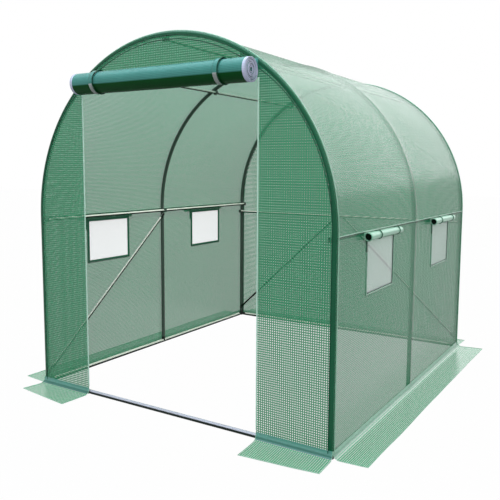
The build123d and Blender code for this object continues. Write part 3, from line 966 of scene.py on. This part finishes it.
def build_windows():
    """Net, folded binding and rolled-up flap of each window."""
    sizes = bpy.context.scene.cover_sizes
    for side, way in SIDES.items():
        frames = {}
        for place in PLACES:
            low, high, bottom, top = window_box(side, place)
            lap = 0.010

            def behind(y, z, side=side, way=way):
                return (wall_x(side, y, z) - way * 0.0012, y, z), (y, z)

            net = film_piece(
                f"{side}_{place}_net", spread(low - lap, high + lap, 16), spread(bottom - lap, top + lap, 12),
                behind, "knitted_net",
            )
            hand_over(net, "window_mesh", f"{side}_{place}_window_net")

            def before(y, z, side=side, way=way):
                return (wall_x(side, y, z) + way * 0.0024, y, z), (y, z)

            strip = film_piece(
                f"{side}_{place}_flap_fastener", spread(low - 0.019, low - 0.005, 3), spread(top - 0.062, top + 0.03, 8),
                before, "sewn_seam_and_painted_shadow",
            )
            hand_over(thicken(strip, 0.0012), "zip_tape")
            inner = -sizes.binding_width / 2
            outside = [(-0.001, -0.0002), (-0.001, 0.0022), (0.002, 0.0030), (0.006, 0.0028), (0.008, 0.0002)]
            inside = [(inner, -0.0022), (inner, -0.0040), (-inner, -0.0040), (-inner, -0.0022)]
            stitched = [(-0.0045, -0.0002), (-0.0045, 0.0018), (-0.0015, 0.0018), (-0.0015, -0.0002)]
            for name, profile, material in (
                ("binding", outside, "piped_edge_and_highlight"), ("facing", inside, "folded_binding"),
                ("stitching", stitched, "sewn_seam_and_painted_shadow"),
            ):
                frame_piece = binding_frame(f"{side}_{place}_{name}", side, (low, high, bottom, top), profile, material)
                frames.setdefault(name, []).append(frame_piece)
        nodes = {"binding": [f"{side}_window_bindings"]}
        for name, pieces in frames.items():
            hand_over(join(f"{side}_window_{name}", pieces), "zip_tape", *nodes.get(name, []))


def binding_frame(name, side, window, profile, material):
    """Strip round one window. Its profile gives steps outwards from the window's edge and off the wall."""
    low, high, bottom, top = window
    way = SIDES[side]
    ring = bmesh.new()
    cloth = ring.loops.layers.uv.new("cloth")
    corners = [(low, bottom, -1, -1), (high, bottom, 1, -1), (high, top, 1, 1), (low, top, -1, 1)]
    outline = []
    steps = 8
    for (y0, z0, sy0, sz0), (y1, z1, sy1, sz1) in zip(corners, corners[1:] + corners[:1]):
        for step in range(steps):
            share = step / steps
            outline.append((y0 + (y1 - y0) * share, z0 + (z1 - z0) * share, (sy0, sz0) if step == 0 else None, (sy0, sz0), (sy1, sz1)))
    rings = []
    for y, z, corner, start, end in outline:
        if corner:
            out = corner
        else:
            out = ((start[0] + end[0]) / 2, (start[1] + end[1]) / 2)
        verts = []
        for offset, rise in profile:
            py, pz = y + out[0] * offset, z + out[1] * offset
            verts.append(ring.verts.new((wall_x(side, py, pz) + way * rise, py, pz)))
        rings.append(verts)
    for one, other in zip(rings, rings[1:] + rings[:1]):
        for place_in in range(len(profile)):
            after = (place_in + 1) % len(profile)
            ring.faces.new([one[place_in], one[after], other[after], other[place_in]]).smooth = True
    bmesh.ops.recalc_face_normals(ring, faces=ring.faces[:])
    for face in ring.faces:
        for corner in face.loops:
            corner[cloth].uv = (corner.vert.co.y, corner.vert.co.z)
    mesh = bpy.data.meshes.new(name)
    ring.to_mesh(mesh)
    ring.free()
    return link(name, mesh, material)


def join(name, pieces):
    """One object made of several, under a new name."""
    whole = bmesh.new()
    for piece in pieces:
        whole.from_mesh(piece.data)
    mesh = bpy.data.meshes.new(name)
    whole.to_mesh(mesh)
    whole.free()
    material = pieces[0].data.materials[0].name
    for piece in pieces:
        bpy.data.objects.remove(piece)
    return link(name, mesh, material)


def spiral(outer, inner, turn, tail, steps_a_turn):
    """Points of a rolled-up sheet, from its stitched edge to its end: distance out from the wall, height
    over the roll's middle, and length along the sheet."""
    points = [(0.0, tail, 0.0), (0.0, tail / 2, tail / 2)]
    length = tail
    turns = (outer - inner) / turn
    count = round(turns * steps_a_turn)
    last = None
    for step in range(count + 1):
        angle = 2 * math.pi * turns * step / count
        radius = outer - turn * angle / (2 * math.pi)
        spot = (outer - radius * math.cos(angle), -radius * math.sin(angle))
        if last:
            length += math.hypot(spot[0] - last[0], spot[1] - last[1])
        points.append((*spot, length))
        last = spot
    return points


def flap_size(y, centre):
    """A rolled flap is a little looser at its front end than at its rear end."""
    return 1.06 - 0.22 * (y - centre)


def build_flap_rolls():
    """Window flaps, rolled up tightly over the windows and tied in two places."""
    sizes = bpy.context.scene.cover_sizes
    outer, inner = 0.019, 0.0165
    for side, way in SIDES.items():
        for place in PLACES:
            node = f"{side}_{place}_flap_roll"
            low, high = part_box(node)
            centre = (low.y + high.y) / 2
            half = (high.y - low.y) / 2
            height = high.z - 0.030
            layers = spiral(outer, inner, sizes.flap_turn, 0.022, 28)
            wall = abs(wall_x(side, centre, height)) + 0.0018

            def spot(y, index, way=way, height=height, layers=layers, wall=wall, centre=centre):
                out, up, length = layers[round(index)]
                dent = 0.0011 * noise.noise(Vector((y * 14, length * 6, way * 5.0)))
                droop = 0.0025 * ((y - centre) / 0.24) ** 2
                share = min(1.0, out / outer)
                size = flap_size(y, centre)
                return (way * (wall + out * size * (1 + dent * 20)), y, height + up * size - droop * share), (y, length)

            piece = film_piece(
                f"{side}_{place}_flap", spread(centre - half, centre + half, 40),
                [float(index) for index in range(len(layers))], spot, "flap_film",
            )
            thicken(piece, 0.0007)
            hand_over(piece, "rolled_film", node)
            # Painted shade: a dark tube inside each rolled flap stands in for the deep shade in its hollow.
            painted_shade_path = []
            for y in spread(centre - half + 0.004, centre + half - 0.004, 8):
                size, droop = flap_size(y, centre), 0.0025 * ((y - centre) / 0.24) ** 2
                painted_shade_path.append((way * (wall + outer * size), y, height - droop))
            shade = swept_tube(f"{side}_{place}_flap_painted_shade", [painted_shade_path], 0.0148, "dark_hollow", sides=20)
            hand_over(shade, "rolled_film")
            ties = []
            for y in (centre - half + 0.14, centre + half - 0.06):
                path = []
                size = flap_size(y, centre)
                for angle in spread(0, 2 * math.pi, 36):
                    reach = outer * size + 0.0016
                    out = max(0.0016, outer * size - reach * math.cos(angle))
                    path.append((way * (wall + out), y, height - reach * math.sin(angle)))
                ties.append(swept_tube(f"tie_{y:.2f}", [path], 0.0022, "sewn_seam_and_painted_shadow", sides=8))
            knots = join(f"{side}_{place}_flap_ties", ties)
            hand_over(knots, "rolled_film")


# Doorway

def door_roll_middle():
    """Axis and outer radius of the rolled-up door."""
    low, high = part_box("door_roll")
    stitched = high.z
    radius = (high.y - low.y) / 2 - 0.0002
    return (low.x + high.x) / 2, (high.x - low.x) / 2, low.z + radius, radius, stitched


def build_door_roll():
    """Door sheet, rolled up over the doorway, with hemmed ends."""
    sizes = bpy.context.scene.cover_sizes
    centre, half, height, outer, stitched = door_roll_middle()
    wall = COVER_END + 0.0022
    layers = spiral(outer - 0.0022, 0.0085, sizes.door_turn, stitched - height, 40)

    def spot(x, index):
        out, up, length = layers[round(index)]
        turn = index / 40
        dent = 0.0012 * noise.noise(Vector((x * 5, length * 3, 2.0)))
        shift = 0.0016 * math.sin(turn * 1.7) * (x - centre) / half
        away = -(wall + out + dent * min(1.0, out / outer))
        return (x + shift, away, height + up + dent), (x - centre, length)

    piece = film_piece(
        "rolled_door", spread(centre - half, centre + half, 64), [float(index) for index in range(len(layers))],
        spot, "hemmed_door_film",
    )
    thicken(piece, 0.0036)
    hand_over(piece, "rolled_film", "door_roll")


def strap_band(name, x, width, start, end, lift, thickness, material):
    """Band round the rolled-up door between two angles, counted from the wall downwards and forwards."""
    _, _, height, outer, _ = door_roll_middle()
    wall = COVER_END + 0.0022
    reach = outer + lift

    def spot(across, angle):
        out, up = outer - reach * math.cos(angle), -reach * math.sin(angle)
        return (x + across, -(wall + out), height + up), (across, angle * outer)

    steps = max(6, round((end - start) / 0.1))
    piece = film_piece(name, spread(-width / 2, width / 2, 4), spread(start, end, steps), spot, material)
    return thicken(piece, thickness)


def build_door_straps():
    """Straps round the rolled-up door, each with a dark edge and a grey patch that fastens it."""
    low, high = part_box("door_straps")
    width = 0.030
    places = {"left": low.x + 0.0125, "right": high.x - 0.0125}
    for side, x in places.items():
        band = strap_band(f"{side}_strap", x, width, 0.12, 2 * math.pi - 0.12, 0.0012, 0.0010, "strap_film")
        hand_over(band, "strap_web")
        patch = strap_band(
            f"{side}_strap_patch", x - 0.001, 0.022, math.radians(102), math.radians(168), 0.0026, 0.0012,
            "hook_and_loop_tape",
        )
        hand_over(patch, "strap_web")
        _, _, height, outer, _ = door_roll_middle()
        reach = outer + 0.0022
        wall = COVER_END + 0.0022
        # Painted shadow: a thin dark tube along the strap's right edge stands in for the shadow there.
        path = []
        for angle in spread(0.12, 2 * math.pi - 0.12, 60):
            out, up = outer - reach * math.cos(angle), -reach * math.sin(angle)
            path.append((x + width / 2, -(wall + out), height + up))
        painted_shadow_line = swept_tube(f"{side}_strap_painted_shadow", [path], 0.0017, "sewn_seam_and_painted_shadow", sides=8)
        hand_over(painted_shadow_line, "strap_web")
    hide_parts("door_straps")


def build_zips():
    """Zip tape and pale coil up both sides of the doorway."""
    for side, way in SIDES.items():
        node = f"{side}_door_zip"
        low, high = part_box(node)
        edge = DOOR_EDGES[side]

        def spot(x, z):
            return (x, end_wall_y(-1, x, z) - 0.0012, z), (x, z)

        heights = spread(low.z, high.z, 44)
        tape = film_piece(f"{side}_zip_tape", spread(edge, edge + way * 0.005, 4), heights, spot, "zip_tape_film")
        thicken(tape, 0.0008)
        hand_over(tape, "zip_tape", node)
        path = [(edge, end_wall_y(-1, edge, z) - 0.0010, z) for z in heights]
        coil = swept_tube(f"{side}_zip_coil", [path], 0.0030, "nylon_coil", sides=10)
        hand_over(coil, "zip_tape")


# Ground skirts

def skirt_profile(reach, rise):
    """Line of a skirt from the wall in a hollow curve to the ground, and out over it."""
    bend, ground = 0.034, 0.0016
    line = [(0.0, 0.4 * rise + 0.6 * (ground + bend))]
    for angle in spread(0, math.pi / 2, 8):
        line.append((bend - bend * math.cos(angle), ground + bend - bend * math.sin(angle)))
    return line + [(bend + (reach - bend) * share, ground) for share in (0.08, 0.25, 0.5, 0.75, 1.0)]


# How far each end of a skirt's outer edge lies past the wall's end, and its share of the full width there
SKIRT_CUT = {
    "left_skirt": ((0.015, 0.91), (0.012, 0.95)),
    "right_skirt": ((0.010, 0.85), (0.024, 0.91)),
    "rear_skirt": ((-0.01, 1.0), (0.01, 1.0)),
    "front_left_skirt": ((-0.021, 0.73), (-0.006, 1.0)),
    "front_right_skirt": ((0.022, 0.985), (0.010, 0.78)),
}


def build_skirts():
    """Skirts of film that hang from the walls and spread over the ground."""
    nodes = {
        "left_skirt": Vector((-1, 0, 0)), "right_skirt": Vector((1, 0, 0)), "rear_skirt": Vector((0, 1, 0)),
        "front_left_skirt": Vector((0, -1, 0)), "front_right_skirt": Vector((0, -1, 0)),
    }
    for number, (node, outward) in enumerate(nodes.items()):
        low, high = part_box(node)
        centre = (low + high) / 2
        run = Vector((abs(outward.y), abs(outward.x), 0))
        reach = (high - low).dot(Vector((abs(outward.x), abs(outward.y), 0)))
        start = DOOR_EDGES["right"] if node == "front_right_skirt" else low.dot(run)
        end = DOOR_EDGES["left"] if node == "front_left_skirt" else high.dot(run)
        half = (end - start) / 2
        wall = centre - outward * (reach / 2)
        wall += run * ((start + end) / 2 - wall.dot(run))
        profile = skirt_profile(reach, SKIRT_RISE)
        lengths = [0.0]
        for one, other in zip(profile, profile[1:]):
            lengths.append(lengths[-1] + math.hypot(other[0] - one[0], other[1] - one[1]))
        (first_past, first_reach), (last_past, last_reach) = SKIRT_CUT[node]

        def spot(along, index, wall=wall, run=run, outward=outward, profile=profile, lengths=lengths,
                 number=number, reach=reach, half=half, cut=(first_past, first_reach, last_past, last_reach)):
            out, up = profile[round(index)]
            share = out / reach
            way = (along + half) / (2 * half)
            past = (cut[0] * (1 - way) + cut[2] * way) * share ** 0.7
            wide = 1 + (cut[1] * (1 - way) + cut[3] * way - 1) * share
            lift = 0.004 * share ** 2 * (0.5 + noise.noise(Vector((along * 3, number, 0.5))))
            crease = 0.001 * share * noise.noise(Vector((along * 9, out * 9, number)))
            point = Vector((wall.x, wall.y, 0)) + run * (along + past) + outward * (out * wide)
            return (point.x, point.y, max(0.0006, up + lift + crease)), (along, lengths[round(index)])

        stations = spread(-half, half, max(16, round(half * 2 / 0.03)))
        piece = film_piece(
            f"{node}_film", stations, [float(index) for index in range(len(profile))], spot,
            "front_skirt_film" if outward.y < 0 else "side_skirt_film",
        )
        hand_over(piece, "cover_film", node)
        last = len(profile) - 1
        border = [spot(-half, index)[0] for index in range(last)] + [spot(along, last)[0] for along in stations]
        border += [spot(half, index)[0] for index in range(last - 1, -1, -1)]
        border = [(x, y, z + 0.0006) for x, y, z in border]
        hem = swept_tube(f"{node}_hem", [border], 0.0016, "piped_edge_and_highlight", sides=6)
        hand_over(hem, "cover_film")


# Stage

# Camera, fitted to the photograph's arches, legs, feet and rails: degrees, millimetres and shares of the width
CAMERA_PLACE = Vector((2.179, -3.715, 1.360))
CAMERA_YAW = 31.31
CAMERA_PITCH = -6.24
CAMERA_ROLL = 0.44
CAMERA_LENS = 45.2
CAMERA_SHIFT = (-0.0256, -0.0256)
SENSOR = 36.0


def stage_white(name, shade, shadow_share):
    """Matt stage that the camera sees as white, with part of the real shade kept."""
    material, tree, output = new_material(name)
    matt = add_node(tree, "ShaderNodeBsdfDiffuse", {"Color": linear(shade)})
    white = add_node(tree, "ShaderNodeEmission", {"Color": (1, 1, 1, 1), "Strength": 1.0})
    path = add_node(tree, "ShaderNodeLightPath")
    seen = add_node(tree, "ShaderNodeMath", {
        0: path.outputs["Is Camera Ray"], 1: path.outputs["Is Glossy Ray"],
    }, operation="MAXIMUM")
    any_view = add_node(tree, "ShaderNodeMath", {
        0: seen.outputs[0], 1: path.outputs["Is Transmission Ray"],
    }, operation="MAXIMUM")
    share = add_node(tree, "ShaderNodeMath", {0: any_view.outputs[0], 1: 1 - shadow_share}, operation="MULTIPLY")
    mix = add_node(tree, "ShaderNodeMixShader", {0: share.outputs[0], 1: matt.outputs[0], 2: white.outputs[0]})
    tree.links.new(mix.outputs[0], output.inputs["Surface"])
    return material


def build_stage():
    """Pale floor, even light and the camera."""
    scene = bpy.context.scene
    floor = bmesh.new()
    bmesh.ops.create_grid(floor, x_segments=1, y_segments=1, size=30)
    mesh = bpy.data.meshes.new("stage_floor")
    floor.to_mesh(mesh)
    floor.free()
    ground = bpy.data.objects.new("stage_floor", mesh)
    scene.collection.objects.link(ground)
    mesh.materials.append(stage_white("stage_white", "#8C8C8C", 0.012))

    world = bpy.data.worlds.new("studio")
    world.use_nodes = True
    tree = world.node_tree
    tree.nodes.clear()
    output = tree.nodes.new("ShaderNodeOutputWorld")
    path = add_node(tree, "ShaderNodeLightPath")
    seen = add_node(tree, "ShaderNodeMath", {
        0: path.outputs["Is Camera Ray"], 1: path.outputs["Is Glossy Ray"],
    }, operation="MAXIMUM")
    any_view = add_node(tree, "ShaderNodeMath", {
        0: seen.outputs[0], 1: path.outputs["Is Transmission Ray"],
    }, operation="MAXIMUM")
    soft = add_node(tree, "ShaderNodeBackground", {"Color": (1, 1, 1, 1), "Strength": 0.78})
    white = add_node(tree, "ShaderNodeBackground", {"Color": (1, 1, 1, 1), "Strength": 1.0})
    mix = add_node(tree, "ShaderNodeMixShader", {0: any_view.outputs[0], 1: soft.outputs[0], 2: white.outputs[0]})
    tree.links.new(mix.outputs[0], output.inputs["Surface"])
    scene.world = world

    lamps = {
        "overhead_lamp": ((-0.6, -1.2, 5.2), (-0.2, -0.4, 1.0), (5.0, 5.0), 245, (0.66, 0.88, 1.0)),
        "front_lamp": ((3.6, -5.4, 3.4), (0, 0, 0.9), (3.0, 3.0), 80, (0.86, 0.95, 1.0)),
        "back_lamp": ((1.25, 6.4, 5.6), (0, 0, 1.4), (8.0, 8.0), 345, (0.97, 0.99, 1.0)),
        "inside_lamp": ((0, 0, 1.88), (0, 0, 0), (1.0, 1.9), 12, (1.0, 0.99, 0.96)),
    }
    for name, (place, target, size, power, tint) in lamps.items():
        data = bpy.data.lights.new(name, "AREA")
        data.shape = "RECTANGLE"
        data.size, data.size_y = size
        data.energy = power
        data.color = tint
        lamp = bpy.data.objects.new(name, data)
        lamp.location = place
        lamp.visible_camera = False
        lamp.rotation_euler = (Vector(target) - Vector(place)).to_track_quat("-Z", "Y").to_euler()
        scene.collection.objects.link(lamp)

    data = bpy.data.cameras.new("camera")
    data.lens = CAMERA_LENS
    data.sensor_width = SENSOR
    camera = bpy.data.objects.new("camera", data)
    camera.location = CAMERA_PLACE
    data.shift_x, data.shift_y = CAMERA_SHIFT
    turn = Matrix.Rotation(math.radians(CAMERA_YAW), 3, "Z")
    tilt = Matrix.Rotation(math.radians(90 + CAMERA_PITCH), 3, "X")
    roll = Matrix.Rotation(math.radians(CAMERA_ROLL), 3, "Z")
    camera.rotation_euler = (turn @ tilt @ roll).to_euler()
    scene.collection.objects.link(camera)
    scene.camera = camera
    scene.view_settings.view_transform = "Standard"


# Operators and panel

class PieceMaker(bpy.types.Operator):
    """Makes one group of the tunnel's pieces."""

    bl_idname = "polytunnel.piece"
    bl_label = "Piece"
    bl_options = {"REGISTER", "UNDO"}
    build = None

    def execute(self, context):
        type(self).build()
        return {"FINISHED"}


def maker(name, label, build):
    """An operator that runs one of the building functions and carries its description."""
    return type(f"POLYTUNNEL_OT_{name}", (PieceMaker,), {
        "bl_idname": f"polytunnel.{name}", "bl_label": label, "__doc__": build.__doc__,
        "build": staticmethod(build),
    })


MAKERS = [
    maker("hoops", "Hoops", build_hoops),
    maker("rails", "Rails", build_rails),
    maker("fittings", "Braces and fittings", build_fittings),
    maker("roof", "Roof film", build_roof),
    maker("walls", "Side walls", build_walls),
    maker("end_walls", "End walls", build_end_walls),
    maker("sleeves", "Hoop sleeves", build_sleeves),
    maker("windows", "Windows", build_windows),
    maker("flap_rolls", "Window flaps", build_flap_rolls),
    maker("door_roll", "Rolled-up door", build_door_roll),
    maker("door_straps", "Door straps", build_door_straps),
    maker("zips", "Door zips", build_zips),
    maker("skirts", "Ground skirts", build_skirts),
    maker("stage", "Stage", build_stage),
]


class POLYTUNNEL_PT_panel(bpy.types.Panel):
    """Lists the tunnel's operators and settings."""

    bl_idname = "POLYTUNNEL_PT_panel"
    bl_label = "Polytunnel"
    bl_space_type = "VIEW_3D"
    bl_region_type = "UI"
    bl_category = "Polytunnel"

    def draw(self, context):
        for made in MAKERS:
            self.layout.operator(made.bl_idname)
        for group in (context.scene.cover_sizes, context.scene.tunnel_colours):
            for name in group.bl_rna.properties.keys():
                if name not in ("rna_type", "name"):
                    self.layout.prop(group, name)


CLASSES = [CoverSizes, TunnelColours, *MAKERS, POLYTUNNEL_PT_panel]


def register():
    for made in CLASSES:
        bpy.utils.register_class(made)
    bpy.types.Scene.cover_sizes = PointerProperty(type=CoverSizes)
    bpy.types.Scene.tunnel_colours = PointerProperty(type=TunnelColours)


def unregister():
    del bpy.types.Scene.tunnel_colours
    del bpy.types.Scene.cover_sizes
    for made in reversed(CLASSES):
        bpy.utils.unregister_class(made)


def main():
    """Makes every piece and the stage, and writes the model's box before and after."""
    register()
    for made in MAKERS:
        group, name = made.bl_idname.split(".")
        if getattr(getattr(bpy.ops, group), name)() != {"FINISHED"}:
            raise RuntimeError(f"{made.bl_idname} could not finish")


if __name__ == "__main__":
    main()
